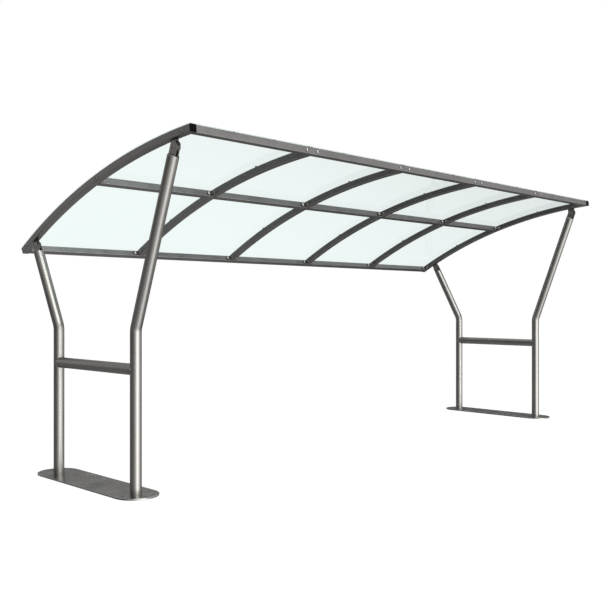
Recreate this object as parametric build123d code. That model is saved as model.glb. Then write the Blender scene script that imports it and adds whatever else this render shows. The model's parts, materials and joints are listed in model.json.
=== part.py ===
"""Open bike shelter: a curved clear roof on two goalpost-like end frames.

Frame: +Z up, +X along the shelter, +Y towards the low rear edge.
The origin is on the ground, under the middle of the roof.  Millimetres.

Each end frame stands in a plane across the shelter: two round posts on one base plate,
a cross rail between them, and above the bend each post leans out to a pivot under the roof.
The roof frame is square tube: six arches on one circle, a front rail, a low rail, and purlins
between the arches half-way up.  Clear sheets lie on top, one to a bay.
"""
import math
import os

from build123d import *

os.makedirs("parts", exist_ok=True)

# ---- driving dimensions -------------------------------------------------------------
bays = 5
bay_spacing = 1030.0        # arch centre to arch centre

roof_radius = 5000.0        # the circle through the tops of the arches
roof_tilt = 16.85           # degrees; slope at the middle of the arch, falling to the rear
rail_spread = 12.46         # degrees from the middle of the arch to each outer rail's centre
roof_middle_height = 2106.0  # ground to the arch's top, at the middle of the arch

section = 50.0              # square tube of the roof frame
section_wall = 3.0
section_corner = 6.0        # outside corner radius

post_diameter = 76.1
post_wall = 3.2
post_spacing = 985.0        # front post to rear post, centre to centre
post_setback = 5.0          # the posts' middle lies this far in front of the arch's middle
bend_height = 1070.0        # where the two straight runs of a post's centreline meet
bend_radius = 115.0         # of the post's centreline
cross_rail_height = 810.0

plate_width = 300.0
plate_thickness = 10.0
plate_edge = 1.0            # chamfer round the plate's upper rim
anchor_offset = 100.0       # anchor holes from the plate's long centreline
anchor_hole = 14.0          # diameter

pivot_spread = 10.62        # degrees from the middle of the arch to each pivot
pivot_drop = 52.0           # arch's underside to the pivot's centre
fork_reach = 51.0           # end of the post's tube to the pivot
fork_width = 66.0
fork_plate = 9.0
fork_crown = 9.0            # the plates' round tops are centred this far past the pivot
lug_plate = 12.0
lug_play = 0.5              # between the lug and each fork plate
plug_height = 4.0
plug_top_diameter = 70.0
pivot_hole = 17.0

bolt_diameter = 16.0        # the pivot bolts
bolt_head_diameter = 28.0
bolt_head_height = 6.0
bolt_end = 10.0             # thread past the nut
nut_height = 13.0
nut_radius = 13.8           # centre to a corner of the hexagon

sheet_thickness = 4.0
sheet_bedding = 0.5         # soft tape between the frame and the sheets
sheet_joint = 4.0           # gap between two sheets, over an arch
sheet_inset = 1.0           # short of the outer faces of the end arches

cap_thickness = 4.0
cap_rim = 1.5               # rounding of a cap's outer rim
cleat_leg = 70.0            # along the arch
cleat_rail_leg = 45.0
cleat_width = 40.0
cleat_plate = 4.0
cleat_bolt_on_rail = 52.0   # bolt centre from the arch's centreline
cleat_bolt_on_arch = 56.0   # bolt centre from the rail's centreline
cleat_bolt_drop = 7.0       # and this far below the arch's centreline

head_diameter = 25.0        # button heads of the frame's bolts
head_height = 8.0
dome_slope = 40.0           # degrees that a head's dome falls away at its rim
socket_radius = 0.23        # of a head's diameter, centre to a corner of the hexagon
socket_depth = 0.85         # of a head's height
screw_diameter = 16.0       # the sheets' screws, with their sealing washers
screw_height = 5.0
screw_offset = 13.0         # screws over an arch, from its centreline
rail_screw_diameter = 16.0
rail_screw_height = 4.0
rail_screw_place = 41.0     # screw of the cross rail, from the post's centreline
rail_screw_seat = 1.5       # how far its head is let into the tube's curve
fit_gap = 0.3               # left open round a coped or curved seat

# ---- sizes worked out from them -----------------------------------------------------
half = section / 2
arch_middle = roof_radius - half
post_radius = post_diameter / 2
pivot_radius = roof_radius - section - pivot_drop
front_angle = roof_tilt - rail_spread
low_angle = roof_tilt + rail_spread
rail_half_angle = math.degrees(half / arch_middle)
roof_start = front_angle - rail_half_angle
roof_end = low_angle + rail_half_angle
arch_x = [(i - bays / 2) * bay_spacing for i in range(bays + 1)]
rest_on = (Align.CENTER, Align.CENTER, Align.MIN)

# each line of joints: its cleats, the rail's angle, and 1 for cleats behind the rail or -1 for before it
joint_lines = (
    ("front_rail_cleats", front_angle, 1),
    ("purlin_cleats", roof_tilt, -1),
    ("low_rail_cleats", low_angle, -1),
)


def along(radius, angle):
    """Y and Z offsets from the roof circle's centre, at an angle behind its top."""
    turn = math.radians(angle)
    return radius * math.sin(turn), radius * math.cos(turn)


front_edge = along(roof_radius - section, roof_start)[0]
rear_edge = along(roof_radius, roof_end)[0]
circle_y = -(front_edge + rear_edge) / 2
circle_z = roof_middle_height - along(roof_radius, roof_tilt)[1]
post_middle_y = circle_y + along(roof_radius, roof_tilt)[0] - post_setback
front_post_y = post_middle_y - post_spacing / 2
rear_post_y = post_middle_y + post_spacing / 2


def on_roof(radius, angle, x=0.0):
    """A place on the roof's circle, its +Z straight out of the circle and its +Y down the slope."""
    y, z = along(radius, angle)
    return Location((x, circle_y + y, circle_z + z), (-angle, 0, 0))


def bent_to_roof(profile, radius, x, start, end):
    """A profile carried along the roof's circle, at one radius, from one angle to another."""
    y, z = along(radius, start)
    turn = math.radians(start)
    across = Plane(
        origin=(x, circle_y + y, circle_z + z),
        x_dir=(1, 0, 0),
        z_dir=(0, math.cos(turn), -math.sin(turn)),
    )
    axis = Axis((0, circle_y, circle_z), (-1, 0, 0))
    return revolve(across * profile, axis, end - start)


def tube_section():
    """Cross-section of the roof frame's square tube."""
    inside = section - 2 * section_wall
    outline = RectangleRounded(section, section, section_corner)
    return outline - RectangleRounded(inside, inside, section_corner - section_wall)


def square_tube(length):
    """Straight square tube along X, centred."""
    return extrude(Plane.YZ * tube_section(), length / 2, both=True)


def build_arches():
    """Two end arches that run past the rails, and arches between them that stop against the rails."""
    parts = {
        "end_arch_left": bent_to_roof(tube_section(), arch_middle, arch_x[0], roof_start, roof_end),
        "end_arch_right": bent_to_roof(tube_section(), arch_middle, arch_x[-1], roof_start, roof_end),
    }
    rail_room = Box(2 * bays * bay_spacing, section, 2 * section)
    for number in range(1, bays):
        arch = bent_to_roof(tube_section(), arch_middle, arch_x[number], front_angle, low_angle)
        for angle in (front_angle, low_angle):
            arch -= on_roof(arch_middle, angle) * rail_room
        parts[f"middle_arch_{number}"] = arch
    return parts


def build_rails():
    """Front and low rails in one length between the end arches, and a purlin in each bay."""
    length = bays * bay_spacing - section
    seat = arch_middle - fit_gap
    parts = {
        "front_rail": on_roof(seat, front_angle) * square_tube(length),
        "low_rail": on_roof(seat, low_angle) * square_tube(length),
    }
    for bay in range(bays):
        x = (arch_x[bay] + arch_x[bay + 1]) / 2
        parts[f"purlin_{bay + 1}"] = on_roof(seat, roof_tilt, x) * square_tube(bay_spacing - section)
    return parts


def build_sheets():
    """Curved clear sheets bedded on the frame, one to a bay, with a narrow joint over each arch."""
    parts = {}
    radius = roof_radius + sheet_bedding + sheet_thickness / 2
    past_arch = half - sheet_inset + sheet_joint / 2
    joints = [arch_x[0] - past_arch, *arch_x[1:-1], arch_x[-1] + past_arch]
    for bay in range(bays):
        low, high = joints[bay], joints[bay + 1]
        profile = Rectangle(high - low - sheet_joint, sheet_thickness)
        parts[f"roof_sheet_{bay + 1}"] = bent_to_roof(
            profile, radius, (low + high) / 2, roof_start, roof_end
        )
    return parts


def round_tube(path):
    """Tube of the end frames, swept along a path of straight and bent stretches."""
    ring = Circle(post_radius) - Circle(post_radius - post_wall)
    return sweep(Plane(origin=path @ 0, z_dir=path % 0) * ring, path)


def pivot_point(x, angle):
    """Centre of a pivot under the arch."""
    y, z = along(pivot_radius, angle)
    return Vector(x, circle_y + y, circle_z + z)


def post_line(x, foot_y, angle):
    """Where a post bends, where its tube ends, and the direction of its upper run."""
    pivot = pivot_point(x, angle)
    bend = Vector(x, foot_y, bend_height)
    lean = (pivot - bend).normalized()
    return bend, pivot - lean * fork_reach, lean


def post(x, foot_y, angle):
    """Round tube that stands on the base plate and leans out above one bend."""
    bend, top, _ = post_line(x, foot_y, angle)
    foot = Vector(x, foot_y, plate_thickness)
    return round_tube(FilletPolyline(foot, bend, top, radius=bend_radius))


def fork(x, foot_y, angle):
    """Bevelled disc that closes the top of a post, with two round-topped plates that straddle the lug."""
    plug = Cone(post_radius, plug_top_diameter / 2, plug_height, align=rest_on)
    gap = lug_plate + 2 * lug_play
    outline = Rectangle(fork_width, fork_reach + fork_crown, align=(Align.CENTER, Align.MIN))
    outline += Pos(0, fork_reach + fork_crown) * Circle(fork_width / 2)
    outline -= Pos(0, fork_reach) * Circle(pivot_hole / 2)
    plates = extrude(Plane.YZ * outline, gap / 2 + fork_plate, both=True)
    slot = Pos(0, 0, plug_height) * Box(gap, 2 * fork_width, 2 * fork_reach, align=rest_on)
    _, top, lean = post_line(x, foot_y, angle)
    place = Plane(origin=top, x_dir=(1, 0, 0), z_dir=lean)
    return place.location * (plug + (plates & Cylinder(post_radius, 6 * fork_reach)) - slot)


def lug(x, angle):
    """Plate that hangs from an arch's underside, round at the bottom, with the pivot hole."""
    outline = Rectangle(fork_width, pivot_drop + half, align=(Align.CENTER, Align.MIN))
    outline += Circle(fork_width / 2)
    outline -= Circle(pivot_hole / 2)
    plate = extrude(Plane.YZ * outline, lug_plate / 2, both=True)
    under_arch = Pos(x, circle_y, circle_z) * Rot(0, 90, 0) * Cylinder(roof_radius - section, 2 * lug_plate)
    return (on_roof(pivot_radius, angle, x) * plate) & under_arch


def button_head(diameter, height):
    """Low wall under a shallow dome, underside on the XY plane, with a hexagon socket in its top."""
    dome_radius = diameter / 2 / math.sin(math.radians(dome_slope))
    head = Cylinder(diameter / 2, height, align=rest_on) & Pos(0, 0, height - dome_radius) * Sphere(dome_radius)
    socket = extrude(RegularPolygon(socket_radius * diameter, 6), height)
    return head - Pos(0, 0, (1 - socket_depth) * height) * socket


def pivot_bolt(x, angle, outward):
    """Bolt through a fork and its lug: head on the outer side, nut on the inner side."""
    reach = lug_plate / 2 + lug_play + fork_plate
    tail = reach + nut_height + bolt_end
    body = Pos(0, 0, -tail) * Cylinder(bolt_diameter / 2, tail + reach, align=rest_on)
    body += Pos(0, 0, reach) * button_head(bolt_head_diameter, bolt_head_height)
    body += Pos(0, 0, -reach - nut_height) * extrude(RegularPolygon(nut_radius, 6), nut_height)
    return Location(pivot_point(x, angle)) * Rot(0, 90 * outward, 0) * body


def cross_rail(x):
    """Round tube between the two posts, its ends coped to them."""
    ends = (x, front_post_y, cross_rail_height), (x, rear_post_y, cross_rail_height)
    rail = round_tube(Line(*ends))
    for end in ends:
        rail -= Pos(*end) * Cylinder(post_radius + fit_gap, 3 * post_radius)
    return rail


def base_plate(x):
    """Flat plate with round ends centred on the posts, and eight anchor holes."""
    outline = Rectangle(plate_width, post_spacing)
    for y in (-post_spacing / 2, post_spacing / 2):
        outline += Pos(0, y) * Circle(plate_width / 2)
    end_y = post_spacing / 2 + anchor_offset
    holes = [(side * anchor_offset, row * post_spacing / 2) for side in (-1, 1) for row in (-1, 0, 1)]
    for hole_x, hole_y in [*holes, (0, -end_y), (0, end_y)]:
        outline -= Pos(hole_x, hole_y) * Circle(anchor_hole / 2)
    plate = extrude(outline, plate_thickness)
    rim = plate.faces().sort_by(Axis.Z)[-1].outer_wire().edges()
    return Pos(x, post_middle_y, 0) * chamfer(rim, plate_edge)


def build_end_frame(side, x, outward):
    """Base plate, two bent posts, cross rail, and the forks, lugs and bolts under the roof."""
    parts = {
        f"base_plate_{side}": base_plate(x),
        f"cross_rail_{side}": cross_rail(x),
    }
    for end, foot_y, angle in (
        ("front", front_post_y, roof_tilt - pivot_spread),
        ("rear", rear_post_y, roof_tilt + pivot_spread),
    ):
        parts[f"{end}_post_{side}"] = post(x, foot_y, angle)
        parts[f"{end}_fork_{side}"] = fork(x, foot_y, angle)
        parts[f"{end}_lug_{side}"] = lug(x, angle)
        parts[f"{end}_pivot_bolt_{side}"] = pivot_bolt(x, angle, outward)
    return parts


def end_caps():
    """Plastic caps that close both ends of the two end arches."""
    caps = []
    for angle, outward in ((roof_start, -1), (roof_end, 1)):
        outline = Plane.XZ * RectangleRounded(section, section, section_corner)
        plate = extrude(outline, cap_thickness / 2, both=True)
        rim = plate.faces().sort_by(Axis.Y)[-1 if outward > 0 else 0].edges()
        plate = Pos(0, outward * cap_thickness / 2, 0) * fillet(rim, cap_rim)
        caps += [on_roof(arch_middle, angle, x) * plate for x in (arch_x[0], arch_x[-1])]
    return Compound(children=caps)


def corner_sides(number):
    """Which sides of an arch have a rail beside them."""
    if number == 0:
        return (1,)
    if number == bays:
        return (-1,)
    return (-1, 1)


def cleat(side, facing):
    """Angle in a corner: one leg on the arch's side, one on the rail's face, the corner at the origin."""
    corner = (
        Align.MIN if side > 0 else Align.MAX,
        Align.MIN if facing > 0 else Align.MAX,
        Align.CENTER,
    )
    arch_leg = Box(cleat_plate, cleat_leg, cleat_width, align=corner)
    return arch_leg + Box(cleat_rail_leg, cleat_plate, cleat_width, align=corner)


def build_cleats():
    """Angles that bolt the rails and purlins to the arches, all under the sheets."""
    parts = {}
    for name, angle, facing in joint_lines:
        cleats = []
        for number, x in enumerate(arch_x):
            joint = on_roof(arch_middle - fit_gap, angle, x)
            for side in corner_sides(number):
                cleats.append(joint * Pos(side * half, facing * half, 0) * cleat(side, facing))
        parts[name] = Compound(children=cleats)
    return parts


def cleat_bolts():
    """Heads of the bolts at the cleats, on the front of the rails and on both sides of the arches.

    The front rail's two ends show no heads: they are bolted from behind.
    """
    head = button_head(head_diameter, head_height)
    heads = []
    for _, angle, facing in joint_lines:
        front_face = -half if facing > 0 else -half - cleat_plate
        for number, x in enumerate(arch_x):
            joint = on_roof(arch_middle - fit_gap, angle, x)
            if facing < 0 or 0 < number < bays:
                for side in corner_sides(number):
                    place = Pos(side * cleat_bolt_on_rail, front_face, 0)
                    heads.append(joint * place * Rot(90, 0, 0) * head)
            for side in (-1, 1):
                reach = half + cleat_plate if side in corner_sides(number) else half
                place = Pos(side * reach, facing * cleat_bolt_on_arch, -cleat_bolt_drop)
                heads.append(joint * place * Rot(0, 90 * side, 0) * head)
    return heads


def cross_rail_screws():
    """Heads of the screws near the cross rails' ends, let into the outer side of the tube."""
    head = button_head(rail_screw_diameter, rail_screw_height)
    tube = Rot(90, 0, 0) * Cylinder(post_radius, 2 * rail_screw_diameter)
    heads = []
    for x, outward in ((arch_x[0], -1), (arch_x[-1], 1)):
        seat = Pos(outward * (post_radius - rail_screw_seat), 0, 0)
        seated = seat * Rot(0, 90 * outward, 0) * head - tube
        for y in (front_post_y + rail_screw_place, rear_post_y - rail_screw_place):
            heads.append(Pos(x, y, cross_rail_height) * seated)
    return heads


def sheet_screws():
    """Screws with sealing washers that hold the sheets to the rails, purlins and arches."""
    head = button_head(screw_diameter, screw_height)
    top = roof_radius + sheet_bedding + sheet_thickness + fit_gap / 10
    places = []
    for bay in range(bays):
        for third in (1, 2):
            x = arch_x[bay] + third * bay_spacing / 3
            places += [(x, front_angle), (x, roof_tilt), (x, low_angle)]
    for number, x in enumerate(arch_x):
        for side in corner_sides(number):
            for angle in (front_angle, (front_angle + roof_tilt) / 2, (roof_tilt + low_angle) / 2):
                places.append((x + side * screw_offset, angle))
    return Compound(children=[on_roof(top, angle, x) * head for x, angle in places])


pieces = {
    **build_arches(),
    **build_rails(),
    **build_sheets(),
    **build_end_frame("left", arch_x[0], -1),
    **build_end_frame("right", arch_x[-1], 1),
    **build_cleats(),
    "arch_end_caps": end_caps(),
    "frame_bolts": Compound(children=cleat_bolts() + cross_rail_screws()),
    "sheet_screws": sheet_screws(),
}
for name, shape in pieces.items():
    export_step(shape, f"parts/{name}.step")
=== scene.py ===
# %% [markdown]
# # A bike shelter dressed in its real finishes
#
# The shelter is an open frame of steel tube under five clear, gently curved sheets. Its shape,
# down to the bolt heads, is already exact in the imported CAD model, so this lesson is about what
# CAD leaves out: what each metal looks like, how clear plastic passes light, and the beads of weld
# that hold the end frames together. Each cell does one small thing and prints what it made.

# %% Load the fixed frame
import json
import math

import bpy
import numpy as np
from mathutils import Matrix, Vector


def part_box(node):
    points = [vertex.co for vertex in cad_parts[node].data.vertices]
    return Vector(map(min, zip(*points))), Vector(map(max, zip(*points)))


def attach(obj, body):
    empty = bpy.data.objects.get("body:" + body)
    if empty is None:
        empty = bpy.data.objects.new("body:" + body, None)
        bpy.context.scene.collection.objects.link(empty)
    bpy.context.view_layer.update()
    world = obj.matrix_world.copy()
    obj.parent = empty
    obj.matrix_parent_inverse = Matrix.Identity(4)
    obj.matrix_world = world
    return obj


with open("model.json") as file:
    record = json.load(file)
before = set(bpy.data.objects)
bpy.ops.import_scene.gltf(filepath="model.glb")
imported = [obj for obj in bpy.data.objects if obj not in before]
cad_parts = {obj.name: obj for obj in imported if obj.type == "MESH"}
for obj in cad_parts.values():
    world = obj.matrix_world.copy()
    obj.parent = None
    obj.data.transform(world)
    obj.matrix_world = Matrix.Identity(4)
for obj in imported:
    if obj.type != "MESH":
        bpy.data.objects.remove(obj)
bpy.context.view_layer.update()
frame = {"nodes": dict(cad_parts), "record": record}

# %% [markdown]
# ## Where things are
#
# Sizes and places of the shelter are read from the frame, so the looks follow the CAD model if it
# changes. A CAD node carries its place in its vertices. Those vertices as one array are all that is
# needed to find the middle of a tube's end, or the circle that an arch is bent to.


# %% Read a node's vertices and fit a circle to an arch
def vertices(name):
    """All vertices of a CAD node as an array with one row of x, y, z for each."""
    mesh = frame["nodes"][name].data
    flat = np.empty(3 * len(mesh.vertices), np.float32)
    mesh.vertices.foreach_get("co", flat)
    return flat.reshape(-1, 3).astype(float)


def fit_circle(y, z):
    """Centre and radius of the circle nearest to points.

    y*y + z*z = 2*a*y + 2*b*z + c is linear in a, b and c, where a, b is the centre.
    """
    rows = np.column_stack([2 * y, 2 * z, np.ones_like(y)])
    a, b, c = np.linalg.lstsq(rows, y * y + z * z, rcond=None)[0]
    return a, b, math.sqrt(c + a * a + b * b)


arch = vertices("end_arch_left")
roof_y, roof_z, roof_radius = fit_circle(arch[:, 1], arch[:, 2])
print(f"roof circle: centre y {roof_y:.3f} z {roof_z:.3f}, middle radius {roof_radius:.3f} m")

# %% [markdown]
# A post is one tube with one bend. Its foot gives the line of its lower run. Its upper run points
# at the pivot bolt, and the cut end of the tube is a flat ring square to that run, so the ring's
# thinnest direction is the direction of the run. The two lines meet at the corner of the bend.


# %% Measure the posts
FOOT_REACH = 0.001           # metres from the lowest point, for a vertex that is on the foot
RING_REACH = 0.075           # metres from the pivot, for a vertex that is on the tube's upper end


def middle(name):
    """Middle of a CAD node's box."""
    return (np.array(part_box(name)[0]) + np.array(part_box(name)[1])) / 2


def upper_run(end, side):
    """Corner of a post's bend, and the unit vector lean that points up its upper run.

    corner = pivot - lean * (pivot_y - foot_y) / lean_y
    """
    points = vertices(f"{end}_post_{side}")
    foot_y = points[points[:, 2] < points[:, 2].min() + FOOT_REACH, 1]
    foot_y = (foot_y.min() + foot_y.max()) / 2
    pivot = middle(f"{end}_lug_{side}")
    pivot[1:] = middle(f"{end}_pivot_bolt_{side}")[1:]
    ring = points[np.linalg.norm(points - pivot, axis=1) < RING_REACH]
    lean = np.linalg.svd(ring - ring.mean(axis=0))[2][2]
    lean = lean * np.sign(lean[2])
    return pivot - lean * (pivot[1] - foot_y) / lean[1], lean


front_corner, front_lean = upper_run("front", "left")
rear_corner, rear_lean = upper_run("rear", "left")
for end, corner, lean in (("front", front_corner, front_lean), ("rear", rear_corner, rear_lean)):
    leaning = math.degrees(math.acos(lean[2]))
    print(f"{end} posts bend at y {corner[1]:.3f} z {corner[2]:.3f}, then lean {leaning:.1f} degrees")

# %% [markdown]
# ## The camera
#
# The shelter is seen from a standing height, level, from in front of its left end. A level camera
# keeps the posts upright in the picture. The lens is a little longer than normal, which keeps the
# long roof from stretching at its near corner.

# %% Place the camera
EYE = Vector((-5.5945, -4.9561, 1.2348))
TURN_TO_RIGHT = 45.45        # degrees, from looking straight along +Y
LENS = 48.656                # millimetres, on a 36 mm wide sensor

camera_data = bpy.data.cameras.new("camera")
camera_data.lens = LENS
camera_data.sensor_width = 36.0
camera_data.clip_end = 200.0
camera = bpy.data.objects.new("camera", camera_data)
camera.location = EYE
camera.rotation_euler = (math.radians(90), 0, math.radians(-TURN_TO_RIGHT))
bpy.context.scene.collection.objects.link(camera)
bpy.context.scene.camera = camera
print("camera at", tuple(round(v, 3) for v in EYE))

# %% [markdown]
# ## Small tools for materials
#
# Colours are written as hex values, the way a paint chart or a picture editor gives them. Blender
# calculates with light, so each value is turned from sRGB to linear first. One function adds a
# node with its settings and its links, and every material below is built with it.


# %% Colours and nodes
def light(hex_colour):
    """Linear red, green, blue and a full alpha, from an sRGB hex colour."""
    values = np.array([int(hex_colour[i : i + 2], 16) for i in (1, 3, 5)]) / 255
    linear = np.where(values <= 0.04045, values / 12.92, ((values + 0.055) / 1.055) ** 2.4)
    return (*linear.tolist(), 1.0)


def add(tree, kind, sockets=None, stops=None, **settings):
    """Add a node. Each entry of sockets is an input and its value, or the output to link to it.

    stops are a colour ramp's: each is a position from 0 to 1 and a colour.
    """
    made = tree.nodes.new("ShaderNode" + kind)
    for name, value in settings.items():
        setattr(made, name, value)
    for key, value in (sockets or {}).items():
        if isinstance(value, bpy.types.NodeSocket):
            tree.links.new(value, made.inputs[key])
        else:
            made.inputs[key].default_value = value
    if stops:
        elements = made.color_ramp.elements
        elements.remove(elements[1])
        elements[0].position, elements[0].color = stops[0]
        for position, colour in stops[1:]:
            elements.new(position).color = colour
    return made


def blank(name):
    """A new material and its node tree, emptied."""
    material = bpy.data.materials.new(name)
    material.use_nodes = True
    material.node_tree.nodes.clear()
    return material, material.node_tree


print("white is", light("#FFFFFF")[:3], "and mid grey is", round(light("#808080")[0], 3))

# %% [markdown]
# ## Surfaces from two parameters
#
# Every new shape here is a grid of points: one parameter runs along rows, the other along
# columns, and numpy works out all the points at once. The same grid gives the faces, because a
# face joins a point to its three neighbours. A grid can close on itself in one direction or both.


# %% Turn a grid of points into a mesh
def grid_faces(rows, columns, closed_rows, closed_columns):
    """Quads over a grid: point (i, j) with (i, j+1), (i+1, j+1) and (i+1, j), wrapping where closed."""
    i = np.arange(rows if closed_rows else rows - 1)[:, None]
    j = np.arange(columns if closed_columns else columns - 1)[None, :]
    i_next, j_next = (i + 1) % rows, (j + 1) % columns
    corners = (i * columns + j, i * columns + j_next, i_next * columns + j_next, i_next * columns + j)
    return np.stack(corners, axis=-1).reshape(-1, 4)


def make_object(name, points, faces, smooth=True):
    """An object at the origin whose mesh holds these points and faces."""
    mesh = bpy.data.meshes.new(name)
    mesh.from_pydata(points.reshape(-1, 3).tolist(), [], faces.tolist())
    mesh.polygons.foreach_set("use_smooth", [smooth] * len(mesh.polygons))
    mesh.update()
    made = bpy.data.objects.new(name, mesh)
    bpy.context.scene.collection.objects.link(made)
    return made


print("4 by 3 points make", len(grid_faces(4, 3, False, False)), "faces, or 12 where both ways close")

# %% [markdown]
# ## The studio
#
# The shelter stands on a pale floor in a white room. The room's light comes from the world, at
# strength 1, so a colour looks about as it is written. The floor is matt. To the camera, also
# through the sheets, it is half lit by itself, which brings it up to the white of the room and
# still leaves the shadows under the plates. The steel doesn't mirror the floor: glossy rays pass
# through it and meet the darker cloth of the tent, which is made further on.

# %% The white room
world = bpy.data.worlds.new("white_room")
bpy.context.scene.world = world
world.use_nodes = True
world.node_tree.nodes["Background"].inputs["Color"].default_value = light("#FFFFFF")
world.node_tree.nodes["Background"].inputs["Strength"].default_value = 1.0
bpy.context.scene.view_settings.view_transform = "Standard"
print("world:", world.name)

# %% The floor
FLOOR_HALF = 60.0            # metres from the middle of the floor to each side
FLOOR_GLOW = 0.8

floor_ends = np.array([-FLOOR_HALF, FLOOR_HALF])
# rows run along y and columns along x, so that the floor's one face looks up
floor_y, floor_x = np.meshgrid(floor_ends, floor_ends, indexing="ij")
floor_points = np.stack([floor_x, floor_y, np.zeros((2, 2))], axis=-1)
floor = make_object("floor", floor_points, grid_faces(2, 2, False, False), smooth=False)
floor.visible_glossy = False

paper, tree = blank("matt_studio_paper")
rays = add(tree, "LightPath")
seen = rays.outputs["Is Camera Ray"]
for kind in ("Is Glossy Ray", "Is Transmission Ray"):
    seen = add(tree, "Math", {0: seen, 1: rays.outputs[kind]}, operation="MAXIMUM").outputs[0]
matt = add(tree, "BsdfDiffuse", {"Color": light("#E6E6E6")})
half_matt = add(tree, "BsdfDiffuse", {"Color": light("#8A8A8A")})
glow = add(tree, "Emission", {"Color": light("#FFFFFF"), "Strength": FLOOR_GLOW})
lifted = add(tree, "AddShader", {0: half_matt.outputs[0], 1: glow.outputs[0]})
lit = add(tree, "MixShader", {0: seen, 1: matt.outputs[0], 2: lifted.outputs[0]})
add(tree, "OutputMaterial", {"Surface": lit.outputs[0]})
floor.data.materials.append(paper)
print("floor:", 2 * FLOOR_HALF, "m square")

# %% [markdown]
# ## The lamp
#
# One large, far softbox stands straight in front of the shelter. It is weak, because the room is
# already bright: it only lights the plastic caps and the floor a little more from the front. The
# steel doesn't mirror it, because the tent of the next step has its own bright panel there.

# %% The softbox
SOFTBOX_AZIMUTH = 182.0      # degrees from +Y, clockwise from above: straight in front
SOFTBOX_DISTANCE = 24.0      # metres, as are its width and height
SOFTBOX_WIDTH = 12.0
SOFTBOX_HEIGHT = 14.0
SOFTBOX_RADIANCE = 1.5

turn = math.radians(SOFTBOX_AZIMUTH)
softbox_data = bpy.data.lights.new("softbox", "AREA")
softbox_data.shape = "RECTANGLE"
softbox_data.size = SOFTBOX_WIDTH
softbox_data.size_y = SOFTBOX_HEIGHT
# an area lamp of this many watts has this radiance: power / (pi * area)
softbox_data.energy = SOFTBOX_RADIANCE * math.pi * SOFTBOX_WIDTH * SOFTBOX_HEIGHT
softbox = bpy.data.objects.new("softbox", softbox_data)
softbox.location = (
    SOFTBOX_DISTANCE * math.sin(turn),
    SOFTBOX_DISTANCE * math.cos(turn),
    SOFTBOX_HEIGHT / 2,
)
softbox.rotation_euler = (math.radians(90), 0, math.pi - turn)
softbox.visible_camera = False
softbox.visible_glossy = False
bpy.context.scene.collection.objects.link(softbox)
print("softbox power:", round(softbox_data.energy), "W")

# %% [markdown]
# ## The tent that the steel mirrors
#
# Steel in an all-white room looks like paper, because a mirror only shows what is round it. A
# studio hangs a tent of cloth round a metal thing: a bright panel in front, which becomes the
# stripe down each post, and a dark side, which becomes the post's dark flank. The tent here is a
# large sphere. Only glossy rays see it, so it lights nothing that is matt and stays out of view,
# and it is so far away that all four posts show the same stripe.
#
# It is made of bands, from the floor up to the top. Each band has its own brightness round the
# shelter, by azimuth: clockwise from its back, seen from above. The posts mirror the low band,
# the roof frame the ones above it, and the undersides of the frame the one below it. One more
# panel high up in front makes the stripe on the rear posts, which lean back.

# %% How bright the tent is
TENT_PEAK = 7.5              # a ramp's colours stop at 1, so brightness is stored as a share of this
# for each band, the sines of the elevation from and to which it is full, then azimuth: brightness
BANDS = (
    (-1.00, -0.84, {0: 0.6}),
    (-0.68, -0.36, {0: 0.6, 20: 0.8, 38: 1.05, 50: 0.9, 75: 0.45, 120: 0.45, 145: 0.8, 163: 2.3,
                    181: 4.0, 199: 2.3, 220: 1.1, 242: 0.6, 261: 0.5, 300: 0.45, 330: 0.45, 360: 0.6}),
    (-0.26, -0.04, {0: 0.9, 40: 1.1, 60: 0.8, 85: 1.0, 116: 1.0, 142: 2.2, 162: 4.8, 182: 7.0,
                    202: 4.9, 222: 1.8, 242: 0.95, 261: 0.5, 284: 0.35, 330: 0.42, 345: 0.6, 360: 0.9}),
    (0.06, 0.26, {0: 0.38, 20: 0.15, 45: 0.1, 65: 0.06, 85: 0.7, 112: 2.1, 124: 1.2, 142: 0.95,
                  154: 1.8, 166: 4.4, 182: 7.4, 200: 4.0, 222: 1.4, 242: 0.6, 272: 0.1, 300: 0.12,
                  312: 0.2, 322: 0.6, 330: 1.0, 338: 1.35, 348: 0.9, 360: 0.38}),
    (0.46, 0.62, {0: 1.2, 30: 1.5, 50: 1.4, 70: 2.0, 88: 2.4, 102: 1.4, 126: 0.62, 144: 0.75,
                  160: 1.1, 200: 1.7, 230: 1.4, 265: 0.8, 310: 0.6, 335: 0.75, 350: 1.0, 360: 1.2}),
    (0.76, 0.86, {0: 1.2, 30: 1.4, 50: 1.4, 70: 2.6, 88: 2.6, 102: 1.0, 118: 0.1, 140: 0.1,
                  160: 1.0, 200: 1.7, 230: 1.4, 265: 0.8, 310: 0.6, 335: 0.75, 350: 1.0, 360: 1.2}),
    (0.93, 1.00, {0: 2.0}),
)
print("tent:", len(BANDS), "bands, up to", max(max(tones.values()) for _, _, tones in BANDS), "bright")

# %% The tent's sphere
TENT_RADIUS = 60.0
TENT_ROWS, TENT_COLUMNS = 32, 64
TENT_RISE = 0.499 * np.pi    # the last rows lie just short of straight up and down

# a sphere: radius * (cos rise * cos turned, cos rise * sin turned, sin rise)
turned = np.linspace(0, 2 * np.pi, TENT_COLUMNS, endpoint=False)[None, :]
rise = np.linspace(-TENT_RISE, TENT_RISE, TENT_ROWS)[:, None]
tent_points = TENT_RADIUS * np.stack(
    [np.cos(rise) * np.cos(turned), np.cos(rise) * np.sin(turned), np.sin(rise) + 0 * turned], axis=-1
)
tent = make_object("tent", tent_points, grid_faces(TENT_ROWS, TENT_COLUMNS, False, True))
for unseen in ("camera", "diffuse", "transmission", "volume_scatter", "shadow"):
    setattr(tent, "visible_" + unseen, False)
print("tent:", len(tent.data.polygons), "faces, seen by glossy rays only")

# %% [markdown]
# The cloth glows by itself. Each place on it works out its own azimuth and height as seen from the
# middle. A colour ramp over the azimuth gives each band its brightness, and the height says how far
# one band has faded into the next.


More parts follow.
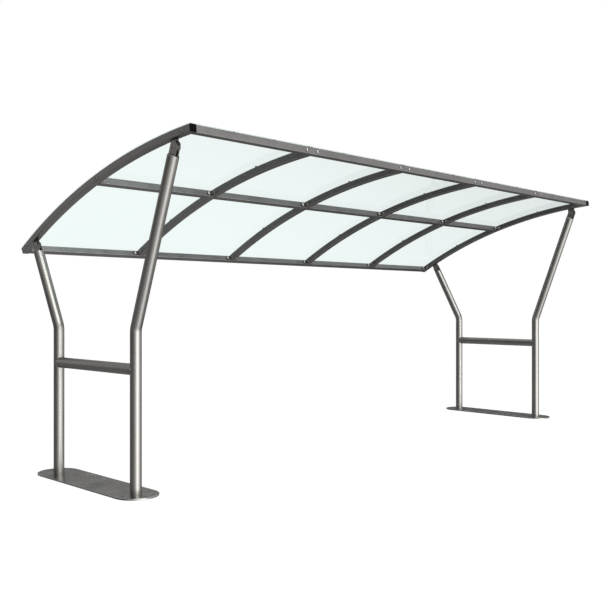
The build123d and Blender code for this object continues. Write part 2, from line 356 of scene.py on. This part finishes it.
# %% The tent's cloth
def round_stops(tones):
    """A ramp's stops over the whole turn, from azimuths and their brightness."""
    return [(degrees / 360, (*[tone / TENT_PEAK] * 3, 1.0)) for degrees, tone in tones.items()]


cloth, tree = blank("tent_cloth")
place = add(tree, "TexCoord").outputs["Object"]
direction = add(tree, "VectorMath", {0: place}, operation="NORMALIZE").outputs[0]
side = add(tree, "SeparateXYZ", {0: direction})
# both turned round, so that the seam of the arctangent lies behind the shelter
back_x = add(tree, "Math", {0: side.outputs[0], 1: -1.0}, operation="MULTIPLY")
back_y = add(tree, "Math", {0: side.outputs[1], 1: -1.0}, operation="MULTIPLY")
angle = add(tree, "Math", {0: back_x.outputs[0], 1: back_y.outputs[0]}, operation="ARCTAN2")
whole_turn = {"From Min": -math.pi, "From Max": math.pi}
azimuth = add(tree, "MapRange", {"Value": angle.outputs[0], **whole_turn}).outputs[0]
tone = add(tree, "ValToRGB", {"Fac": azimuth}, stops=round_stops(BANDS[0][2])).outputs["Color"]
for below, this in zip(BANDS, BANDS[1:]):
    rising = {"From Min": below[1], "From Max": this[0]}
    share = add(tree, "MapRange", {"Value": side.outputs[2], **rising})
    next_tone = add(tree, "ValToRGB", {"Fac": azimuth}, stops=round_stops(this[2]))
    mixed = {0: share.outputs[0], 6: tone, 7: next_tone.outputs["Color"]}
    tone = add(tree, "Mix", mixed, data_type="RGBA").outputs[2]
cloth_glow = add(tree, "Emission", {"Color": tone, "Strength": TENT_PEAK})
print("material", cloth.name, "has", len(tree.nodes), "nodes")

# %% [markdown]
# The panel high up is a soft round spot on the same cloth. The dot product of two directions is the
# cosine of the angle between them, so it tells how far a place is from the spot's middle.

# %% The panel high up in front
TOP_PANEL = 6.0
TOP_AZIMUTH, TOP_ELEVATION = 186.0, 55.0
TOP_INNER, TOP_OUTER = 12.0, 29.0    # the panel fades out between these angles from its middle, degrees

top_turn, top_rise = math.radians(TOP_AZIMUTH), math.radians(TOP_ELEVATION)
top_middle = (
    math.cos(top_rise) * math.sin(top_turn),
    math.cos(top_rise) * math.cos(top_turn),
    math.sin(top_rise),
)
nearness = add(tree, "VectorMath", {0: direction, 1: top_middle}, operation="DOT_PRODUCT")
fading = {"From Min": math.cos(math.radians(TOP_OUTER)), "From Max": math.cos(math.radians(TOP_INNER))}
panel = add(tree, "MapRange", {"Value": nearness.outputs["Value"], **fading})
black_to_white = {0: panel.outputs[0], 6: light("#000000"), 7: light("#FFFFFF")}
panel_colour = add(tree, "Mix", black_to_white, data_type="RGBA")
panel_glow = add(tree, "Emission", {"Color": panel_colour.outputs[2], "Strength": TOP_PANEL})
both_glow = add(tree, "AddShader", {0: cloth_glow.outputs[0], 1: panel_glow.outputs[0]})
add(tree, "OutputMaterial", {"Surface": both_glow.outputs[0]})
cloth.cycles.emission_sampling = "NONE"
tent.data.materials.append(cloth)
print("top panel:", 2 * TOP_OUTER, "degrees across")

# %% [markdown]
# ## Satin steel
#
# All the steel here has been ground or brushed to a satin finish. The belt leaves scratches that
# all run one way and are far finer than a millimetre. Scratches that fine only blur what the
# steel mirrors, and roughness does that. Coarser ones, about 2 mm apart, are drawn faintly, so that
# a close view shows which way the belt ran. Handling and rain leave broad, faint clouds, which
# change the tone and the roughness a little from place to place.
#
# The scratches are noise squeezed hard across them and hardly at all along them. What changes
# from piece to piece is the direction, so each finish is given a function that turns a place on
# the object into coordinates that follow the piece.


# %% Material: satin steel
NOISE_SPAN = {"From Min": 0.3, "From Max": 0.7}    # nearly all of a noise's values lie between these
TONE_SPAN = {"To Min": 0.95, "To Max": 1.05}       # times the colour, in the darkest and lightest places
SMOOTHEST, ROUGHEST = 0.92, 1.1                    # times the roughness, in the same way
CLOUD_SIZE = 1000 / 6                              # millimetres: six clouds to the metre
SCRATCH_STRENGTH = 0.25
NO_EDGE_SHADE = "#FFFFFF"                                 # a cut tone that darkens nothing
FLAT_LIMIT = 0.7                                   # a face whose normal has less than this is on an edge


def steel(name, colour, roughness, follow, sizes, depth, edge="#8C8C8C", cut=NO_EDGE_SHADE, across=0):
    """Satin steel. Its scratches are noise over follow(tree, place), and edge is its glancing tint.

    sizes are a scratch's along those three coordinates and depth is how deep it is, in millimetres.
    cut is painted shade, a darker tone on the faces that don't look along the axis across:
    0, 1 or 2 for x, y or z.
    """
    material, tree = blank(name)
    place = add(tree, "TexCoord").outputs["Object"]
    to_the_metre = [1000 / size for size in sizes]
    squeezed = add(tree, "Mapping", {"Vector": follow(tree, place), "Scale": to_the_metre})
    scratches = add(tree, "TexNoise", {"Vector": squeezed.outputs[0], "Scale": 1.0, "Detail": 3.0})
    clouds = add(tree, "TexNoise", {"Vector": place, "Scale": 1000 / CLOUD_SIZE, "Detail": 5.0})
    cloud_tone = add(tree, "MapRange", {"Value": clouds.outputs[0], **NOISE_SPAN, **TONE_SPAN})
    scratch_tone = add(tree, "MapRange", {"Value": scratches.outputs[0], **NOISE_SPAN, **TONE_SPAN})
    both = add(tree, "Math", {0: cloud_tone.outputs[0], 1: scratch_tone.outputs[0]}, operation="MULTIPLY")
    tinted = {"data_type": "RGBA", "blend_type": "MULTIPLY"}
    base = add(tree, "Mix", {0: 1.0, 6: light(colour), 7: both.outputs[0]}, **tinted)
    # painted shade: the faces that don't look along the axis across are darkened to the cut tone
    if cut != NO_EDGE_SHADE:
        split = add(tree, "SeparateXYZ", {0: add(tree, "TexCoord").outputs["Normal"]})
        along = add(tree, "Math", {0: split.outputs[across]}, operation="ABSOLUTE")
        is_shaded_edge = add(tree, "Math", {0: along.outputs[0], 1: FLAT_LIMIT}, operation="LESS_THAN")
        base = add(tree, "Mix", {0: is_shaded_edge.outputs[0], 6: base.outputs[2], 7: light(cut)}, **tinted)
    rough_span = {"To Min": roughness * SMOOTHEST, "To Max": roughness * ROUGHEST}
    rough = add(tree, "MapRange", {"Value": clouds.outputs[0], **NOISE_SPAN, **rough_span})
    scratched = {"Height": scratches.outputs[0], "Strength": SCRATCH_STRENGTH, "Distance": depth / 1000}
    bump = add(tree, "Bump", scratched)
    metal = add(tree, "BsdfPrincipled", {
        "Base Color": base.outputs[2],
        "Metallic": 1.0,
        "Roughness": rough.outputs[0],
        "Specular Tint": light(edge),
        "Normal": bump.outputs[0],
    })
    add(tree, "OutputMaterial", {"Surface": metal.outputs[0]})
    return material


def as_it_lies(tree, place):
    """The object's own x, y and z, for straight pieces that lie along an axis."""
    return place


print("satin steel: fine scratches under clouds", round(CLOUD_SIZE), "mm across")

# %% [markdown]
# ### Round tube
#
# The posts and cross rails are round tube. The belt runs round the tube, so its scratches are
# rings. On a cross rail they are rings of one y. On a post they follow the bend: below the corner
# they go by height, above it by the distance along the upper run.


# %% Material: round tube
def up_a_post(corner, lean):
    """Coordinates x, y and distance along the post, all from the corner of its bend.

    The distance is z below the plane that halves the bend, and place . lean above it.
    """
    halfway = lean + np.array([0, 0, 1])

    def follow(tree, place):
        moved = add(tree, "VectorMath", {0: place, 1: (0, *corner[1:])}, operation="SUBTRACT")
        from_corner = moved.outputs[0]
        split = add(tree, "SeparateXYZ", {0: from_corner})
        leaning = add(tree, "VectorMath", {0: from_corner, 1: lean.tolist()}, operation="DOT_PRODUCT")
        side = add(tree, "VectorMath", {0: from_corner, 1: halfway.tolist()}, operation="DOT_PRODUCT")
        above = add(tree, "Math", {0: side.outputs["Value"], 1: 0.0}, operation="GREATER_THAN")
        run = add(tree, "Mix", {0: above.outputs[0], 2: split.outputs[2], 3: leaning.outputs["Value"]})
        unbent = {0: split.outputs[0], 1: split.outputs[1], 2: run.outputs[0]}
        return add(tree, "CombineXYZ", unbent).outputs[0]

    return follow


TUBE_COLOUR, TUBE_ROUGHNESS = "#7A7875", 0.30
UP_A_POST = (250, 250, 2)    # millimetres: rings 2 mm apart
ALONG_A_RAIL = (250, 2, 250)
RING_DEPTH = 0.02

up_front_post = up_a_post(front_corner, front_lean)
up_rear_post = up_a_post(rear_corner, rear_lean)
# what the eye gets from the posts is the bright panel's stripe, softened across by the rings
front_post_steel = steel(
    "belt_ground_front_post_tube", TUBE_COLOUR, TUBE_ROUGHNESS, up_front_post, UP_A_POST, RING_DEPTH
)
rear_post_steel = steel(
    "belt_ground_rear_post_tube", TUBE_COLOUR, TUBE_ROUGHNESS, up_rear_post, UP_A_POST, RING_DEPTH
)
# the same steel lying down, with brighter upper and lower edges
cross_rail_steel = steel(
    "belt_ground_cross_rail_tube", TUBE_COLOUR, TUBE_ROUGHNESS, as_it_lies, ALONG_A_RAIL, RING_DEPTH,
    edge="#C4C4C4",
)
for made in (front_post_steel, rear_post_steel, cross_rail_steel):
    print("material", made.name)

# %% [markdown]
# ### Square tube
#
# The roof frame is square tube, brushed along its length. The rails and purlins are straight, so
# their scratches run along x. The arches are bent, so theirs run along the roof's circle: distance
# round the circle is one coordinate and distance from its middle is another.


# %% Material: square tube
def round_the_roof(tree, place):
    """Coordinates x, distance round the roof's circle, and distance from the circle's axis.

    The distance round is roof_radius * atan2(y - roof_y, z - roof_z).
    """
    from_axis = add(tree, "VectorMath", {0: place, 1: (0, roof_y, roof_z)}, operation="SUBTRACT")
    split = add(tree, "SeparateXYZ", {0: from_axis.outputs[0]})
    turned = add(tree, "Math", {0: split.outputs[1], 1: split.outputs[2]}, operation="ARCTAN2")
    round_it = add(tree, "Math", {0: turned.outputs[0], 1: roof_radius}, operation="MULTIPLY")
    flat = add(tree, "CombineXYZ", {1: split.outputs[1], 2: split.outputs[2]})
    out = add(tree, "VectorMath", {0: flat.outputs[0]}, operation="LENGTH")
    unbent = {0: split.outputs[0], 1: round_it.outputs[0], 2: out.outputs["Value"]}
    return add(tree, "CombineXYZ", unbent).outputs[0]


BRUSHED_COLOUR, BRUSHED_ROUGHNESS = "#777675", 0.31
BRUSHED_DEPTH = 0.04
ALONG_X = (1000 / 3, 2, 2)   # millimetres: lines 2 mm apart and a third of a metre long
ROUND_ARCH = (2, 1000 / 3, 2)

# dull flat faces, each an even tone of grey, with faint lines along the tube
rail_steel = steel(
    "brushed_square_tube", BRUSHED_COLOUR, BRUSHED_ROUGHNESS, as_it_lies, ALONG_X, BRUSHED_DEPTH
)
# the same, with the lines bent to the arch
arch_steel = steel(
    "brushed_bent_square_tube", BRUSHED_COLOUR, BRUSHED_ROUGHNESS, round_the_roof, ROUND_ARCH,
    BRUSHED_DEPTH,
)
for made in (rail_steel, arch_steel):
    print("material", made.name)

# %% [markdown]
# ### Plate and brackets
#
# The base plates are ground flat on top and are the smoothest steel here: at a low angle they
# mirror the posts that stand on them. The forks and lugs are cut from plate, and the cleats are
# folded from it. The beam that cuts a plate leaves fine ribs across the thickness of its edge, so
# the noise is stretched along x, which is the thickness of every fork plate and lug. The edges are
# also painted darker, which is painted shade: cut is that darker tone, and across is the axis that
# a plate is thin along.

# %% Materials: plate and brackets
GRAIN = 10 / 3               # millimetres; the real grain is too fine to see, so it is drawn this coarse
RIB = 5 / 3                  # from one rib of a cut edge to the next, drawn coarse too
EVEN = (GRAIN, GRAIN, GRAIN)

# pale and smooth on top, so that it mirrors the posts, with painted shade on its rim
plate_steel = steel(
    "ground_steel_base_plate", "#A7A5A2", roughness=0.22, follow=as_it_lies,
    sizes=(GRAIN, 250, GRAIN), depth=0.01, edge="#F4F4F4", cut="#A8A8A8", across=2,
)
# dull, with ribbed edges darkened by painted shade, which show how thick a fork's plates are
cut_steel = steel(
    "laser_cut_steel_plate", "#807E7B", roughness=0.34, follow=as_it_lies,
    sizes=(25, RIB, RIB), depth=0.03, cut="#9A9A9A", across=0,
)
# dull and even, in the shade of the corners that the cleats sit in
folded_steel = steel(
    "folded_steel_cleat", "#787573", roughness=0.32, follow=as_it_lies, sizes=EVEN, depth=0.02
)
for made in (plate_steel, cut_steel, folded_steel):
    print("material", made.name)

# %% [markdown]
# ### Bolts and screws
#
# The bolts are stainless and tumbled, which leaves them a little duller than the tube and the same
# from every side. The sheets' screws are blackened steel, with a sealing washer under each head.

# %% Materials: bolts and screws
# a soft highlight on each dome, and a dark socket in it
bolt_steel = steel(
    "tumbled_stainless_bolt", "#807E7C", roughness=0.42, follow=as_it_lies, sizes=EVEN, depth=0.02,
    edge="#A0A0A0",
)
# small dark dots along the roof
screw_steel = steel(
    "blackened_steel_screw", "#4A4A49", roughness=0.40, follow=as_it_lies, sizes=EVEN, depth=0.02
)
for made in (bolt_steel, screw_steel):
    print("material", made.name)

# %% [markdown]
# ## Clear polycarbonate sheet
#
# The roof is solid polycarbonate, 4 mm thick, extruded flat and sprung over the arches. It is
# water-clear with a breath of green. A thin sheet hardly shifts what is behind it, so it is drawn
# without bending the light: most of it passes straight through, faintly tinted, and a part that
# grows towards a glancing angle is mirrored. At a glancing angle the sight line also runs through
# more plastic, so the tint darkens there. Extrusion leaves a sheet a shade less flat than
# glass and dust dulls it in places, which the waves and the haze give. The sawn edges are
# frosted and gather the green.

# %% Material: clear sheet
SHEET_GLOSS = 0.16           # of what would be mirrored at a glancing angle
GLOSS_RISE = 5.0             # the power of how edge-on the sheet is seen, by which its gloss rises
TINT_RISE = 8.0              # and the power by which its tint darkens
FACE_ON, EDGE_ON = "#F8FDFC", "#CFCDCE"      # tint of one surface, seen straight and along it
WAVE_SIZES = (1000 / 2.2, 1250, 1250)        # millimetres: closer along the shelter than across it
WAVE_STRENGTH = 0.2
WAVE_HEIGHT = 2                              # millimetres
DUST_SIZE = 200                              # millimetres across a patch of dust
DUST_SPAN = {"From Min": 0.35, "From Max": 0.75}
HAZE_SPAN = {"To Min": 0.02, "To Max": 0.1}  # roughness where the sheet is clean and where it is dusty
EDGE_LIMIT = 0.5             # a face turned further than this from the roof's circle is a sawn edge
EDGE_COLOUR = "#F2FAF7"
EDGE_FROST = 0.3             # share of a sawn edge's light that the frosting scatters

# nearly invisible where it is seen straight, darker and glossier where it is seen along
clear_sheet, tree = blank("clear_polycarbonate_sheet")
place = add(tree, "TexCoord").outputs["Object"]
flow = add(tree, "Mapping", {"Vector": place, "Scale": [1000 / size for size in WAVE_SIZES]})
waves = add(tree, "TexNoise", {"Vector": flow.outputs[0], "Scale": 1.0, "Detail": 1.0})
wavy = {"Height": waves.outputs[0], "Strength": WAVE_STRENGTH, "Distance": WAVE_HEIGHT / 1000}
bump = add(tree, "Bump", wavy)
dust = add(tree, "TexNoise", {"Vector": place, "Scale": 1000 / DUST_SIZE, "Detail": 6.0})
haze = add(tree, "MapRange", {"Value": dust.outputs[0], **DUST_SPAN, **HAZE_SPAN})
glossy = {"Color": light("#FFFFFF"), "Roughness": haze.outputs[0], "Normal": bump.outputs[0]}
shine = add(tree, "BsdfGlossy", glossy)
facing = add(tree, "LayerWeight", {"Blend": 0.5}).outputs["Facing"]
glance = add(tree, "Math", {0: facing, 1: GLOSS_RISE}, operation="POWER")
share = add(tree, "Math", {0: glance.outputs[0], 1: SHEET_GLOSS}, operation="MULTIPLY")
loss = add(tree, "Math", {0: facing, 1: TINT_RISE}, operation="POWER")
tint = add(tree, "Mix", {0: loss.outputs[0], 6: light(FACE_ON), 7: light(EDGE_ON)}, data_type="RGBA")
through = add(tree, "BsdfTransparent", {"Color": tint.outputs[2]})
face = add(tree, "MixShader", {0: share.outputs[0], 1: through.outputs[0], 2: shine.outputs[0]})
print("material", clear_sheet.name, "has its face")

# %% [markdown]
# A sawn edge is told from a face by where it looks. A face looks straight out from the roof's
# circle or straight in, and an edge looks across that direction.

# %% The sheet's sawn edges
from_axis = add(tree, "VectorMath", {0: place, 1: (0, roof_y, roof_z)}, operation="SUBTRACT")
flat_out = add(tree, "VectorMath", {0: from_axis.outputs[0], 1: (0, 1, 1)}, operation="MULTIPLY")
out = add(tree, "VectorMath", {0: flat_out.outputs[0]}, operation="NORMALIZE")
normal = add(tree, "TexCoord").outputs["Normal"]
along_out = add(tree, "VectorMath", {0: out.outputs[0], 1: normal}, operation="DOT_PRODUCT")
flatness = add(tree, "Math", {0: along_out.outputs["Value"]}, operation="ABSOLUTE")
sawn = add(tree, "Math", {0: flatness.outputs[0], 1: EDGE_LIMIT}, operation="LESS_THAN")
frost = add(tree, "BsdfTranslucent", {"Color": light(EDGE_COLOUR)})
clear_edge = add(tree, "BsdfTransparent", {"Color": light(EDGE_COLOUR)})
edge = add(tree, "MixShader", {0: EDGE_FROST, 1: clear_edge.outputs[0], 2: frost.outputs[0]})
sheet = add(tree, "MixShader", {0: sawn.outputs[0], 1: face.outputs[0], 2: edge.outputs[0]})
add(tree, "OutputMaterial", {"Surface": sheet.outputs[0]})
print("material", clear_sheet.name, "has", len(tree.nodes), "nodes")

# %% [markdown]
# ## Black end caps
#
# The caps that close the end arches are injection-moulded polyethylene, black all through, with
# the fine spark-eroded grain of their mould.

# %% Material: cap plastic
SPARK_GRAIN = 10 / 9         # millimetres; the real one is about a tenth of that, too fine to show
SPARK_DEPTH = 0.05
BLACKS = ((0.0, light("#020202")), (1.0, light("#060606")))

# a deep, dull black that hardly mirrors the room
cap_plastic, tree = blank("moulded_black_polyethylene")
place = add(tree, "TexCoord").outputs["Object"]
grain = add(tree, "TexNoise", {"Vector": place, "Scale": 1000 / SPARK_GRAIN, "Detail": 2.0})
bump = add(tree, "Bump", {"Height": grain.outputs[0], "Strength": 0.3, "Distance": SPARK_DEPTH / 1000})
tint = add(tree, "ValToRGB", {"Fac": grain.outputs[0]}, stops=BLACKS)
plastic = add(tree, "BsdfPrincipled", {
    "Base Color": tint.outputs[0],
    "Roughness": 0.55,
    "Specular IOR Level": 0.03,
    "Normal": bump.outputs[0],
})
add(tree, "OutputMaterial", {"Surface": plastic.outputs[0]})
print("material", cap_plastic.name)

# %% [markdown]
# ## A finish for each CAD node
#
# The record gives every node a slot, such as round tube or brackets. Where one slot covers pieces
# whose scratches run different ways, the node's name decides.

# %% Give each CAD node its finish
FINISH = {
    "square_tube": rail_steel,
    "base_plate": plate_steel,
    "brackets": cut_steel,
    "fixings": bolt_steel,
    "clear_sheet": clear_sheet,
    "black_plastic": cap_plastic,
}
FINISH_BY_NAME = {
    "front_post": front_post_steel,
    "rear_post": rear_post_steel,
    "cross_rail": cross_rail_steel,
    "end_arch": arch_steel,
    "middle_arch": arch_steel,
    "front_rail_cleats": folded_steel,
    "purlin_cleats": folded_steel,
    "low_rail_cleats": folded_steel,
    "sheet_screws": screw_steel,
}

for part in frame["record"]["subparts"]:
    named = [finish for start, finish in FINISH_BY_NAME.items() if part["node"].startswith(start)]
    finish = named[0] if named else FINISH[part["material_slot"]]
    for slot in frame["nodes"][part["node"]].material_slots:
        slot.material = finish
print(len(frame["nodes"]), "CAD nodes finished")

# %% [markdown]
# ## Weld beads
#
# The posts are welded to the base plates, the cross rails to the posts, and the lugs to the arches.
# A bead is a rope of melted steel: slightly rippled, because the weld pool froze in steps as
# the torch moved on, and here only about 4 mm thick. Each bead is a circle carried round a closed
# path. The paths are a ring at a foot, the curve where two equal tubes meet, and a rectangle
# round the top of a lug.


# %% Sweep a rippled bead round a closed path
RIPPLE = 0.0025              # metres from one ripple to the next
RIPPLE_SWELL = 0.07          # of the bead's radius
BEAD_SIDES = 8


def bead(path, radius):
    """Points of path + r * (cos s * out + sin s * side), with r = radius * (1 + swell * cos(ripples * t)).

    out points away from the middle of the path, side is square to both out and the path, and t goes
    once round, from 0 to 2 pi, in step with the distance along the path.
    """
    ahead = np.roll(path, -1, axis=0) - np.roll(path, 1, axis=0)
    ahead /= np.linalg.norm(ahead, axis=1)[:, None]
    out = path - path.mean(axis=0)
    out -= (out * ahead).sum(axis=1)[:, None] * ahead
    out /= np.linalg.norm(out, axis=1)[:, None]
    side = np.cross(ahead, out)
    steps = np.linalg.norm(np.roll(path, -1, axis=0) - path, axis=1)
    distance = np.cumsum(steps) - steps
    ripples = round(steps.sum() / RIPPLE)
    swollen = radius * (1 + RIPPLE_SWELL * np.cos(2 * np.pi * ripples * distance / steps.sum()))
    s = np.linspace(0, 2 * np.pi, BEAD_SIDES, endpoint=False)[None, :, None]
    section = np.cos(s) * out[:, None, :] + np.sin(s) * side[:, None, :]
    return path[:, None, :] + swollen[:, None, None] * section


def weld(name, paths, radius, material):
    """One object that holds a bead for each path."""
    points, faces, start = [], [], 0
    for path in paths:
        swept = bead(path, radius)
        points.append(swept.reshape(-1, 3))
        faces.append(start + grid_faces(swept.shape[0], swept.shape[1], True, True))
        start += len(points[-1])
    made = make_object(name, np.concatenate(points), np.concatenate(faces))
    made.data.materials.append(material)
    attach(made, "root")
    print(name, "has", len(paths), "beads and", len(made.data.polygons), "faces")


print("a bead's ripples are", 1000 * RIPPLE, "mm long")

# %% [markdown]
# A bead that was brushed clean is the colour of the steel beside it, only rougher and a little
# darker, because the heat leaves a thin grey scale.

# %% Material: weld bead
BEAD_GRAIN = 1000 * RIPPLE   # millimetres: as long as a ripple

# a thin line round each joint, a little darker than the tube
weld_steel = steel(
    "brushed_weld_bead", "#6A6966", roughness=0.38, follow=as_it_lies, sizes=[BEAD_GRAIN] * 3, depth=0.05
)
print("material", weld_steel.name)

# %% [markdown]
# Each path is worked out from the pieces that it joins. Where two equal tubes meet square, the
# seam is two half ellipses with a sharp corner on each side. A torch rounds such a corner, so the
# path does too.

# %% The path at a post's foot
STEPS_PER_RIPPLE = 4

post_radius = (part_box("cross_rail_left")[1].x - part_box("cross_rail_left")[0].x) / 2
plate_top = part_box("base_plate_left")[1].z
print(f"posts: radius {1000 * post_radius:.2f} mm, on plates {1000 * plate_top:.0f} mm thick")


def ring_turns(length):
    """Angles round a closed path of this length, a few to each ripple."""
    return np.linspace(0, 2 * np.pi, STEPS_PER_RIPPLE * round(length / RIPPLE), endpoint=False)


def foot_path(end, side):
    """Ring at a post's foot: middle + post_radius * (cos t, sin t, 0)."""
    t = ring_turns(2 * np.pi * post_radius)
    middle_x = middle(f"base_plate_{side}")[0]
    foot_y = (front_corner if end == "front" else rear_corner)[1]
    x, y = middle_x + post_radius * np.cos(t), foot_y + post_radius * np.sin(t)
    return np.stack([x, y, plate_top + 0 * t], axis=-1)


print("round a foot:", len(foot_path("front", "left")), "points")

# %% The path where a cross rail meets a post
SADDLE_LENGTH = 1.2          # of a seam between equal tubes, as a share of the tube's circumference
SADDLE_ROUNDING = 0.004      # metres that its sharp corners are rounded by


def saddle_path(end, side):
    """Where equal tubes meet: (R cos t, R |sin t| away from the post, R sin t), its corners rounded."""
    t = ring_turns(2 * np.pi * post_radius * SADDLE_LENGTH)
    corner = front_corner if end == "front" else rear_corner
    inward = 1 if end == "front" else -1
    rail = middle(f"cross_rail_{side}")
    reach = np.hypot(post_radius * np.sin(t), SADDLE_ROUNDING)
    x, z = rail[0] + post_radius * np.cos(t), rail[2] + post_radius * np.sin(t)
    return np.stack([x, corner[1] + inward * reach, z], axis=-1)


print("round a saddle:", len(saddle_path("front", "left")), "points")

# %% The path round a lug's top
TOP_REACH = 0.0005           # metres from the lug's highest point, for a vertex that is on its top


def lug_path(end, side):
    """Rectangle round a lug's top, walked in even steps.

    Its two directions are x and the angle about the roof circle's axis, which bends it onto the arch.
    """
    points = vertices(f"{end}_lug_{side}")
    radius = np.hypot(points[:, 1] - roof_y, points[:, 2] - roof_z)
    top = points[radius > radius.max() - TOP_REACH]
    around = np.arctan2(top[:, 1] - roof_y, top[:, 2] - roof_z)
    x_low, x_high, turn_low, turn_high = top[:, 0].min(), top[:, 0].max(), around.min(), around.max()
    corner_x = np.array([x_low, x_high, x_high, x_low, x_low])
    corner_turn = np.array([turn_low, turn_low, turn_high, turn_high, turn_low])
    walked = np.cumsum([0, *np.hypot(np.diff(corner_x), radius.max() * np.diff(corner_turn))])
    share = ring_turns(walked[-1]) / (2 * np.pi) * walked[-1]
    x, turned = np.interp(share, walked, corner_x), np.interp(share, walked, corner_turn)
    y, z = roof_y + radius.max() * np.sin(turned), roof_z + radius.max() * np.cos(turned)
    return np.stack([x, y, z], axis=-1)


print("round a lug:", len(lug_path("front", "left")), "points")

# %% Make the beads
FOOT_BEAD = 0.002            # radius in metres
FRAME_BEAD = 0.0022          # the same, higher up

post_places = [(end, side) for side in ("left", "right") for end in ("front", "rear")]
weld("post_foot_welds", [foot_path(*place) for place in post_places], FOOT_BEAD, weld_steel)
weld("cross_rail_welds", [saddle_path(*place) for place in post_places], FRAME_BEAD, weld_steel)
weld("lug_welds", [lug_path(*place) for place in post_places], FRAME_BEAD, weld_steel)
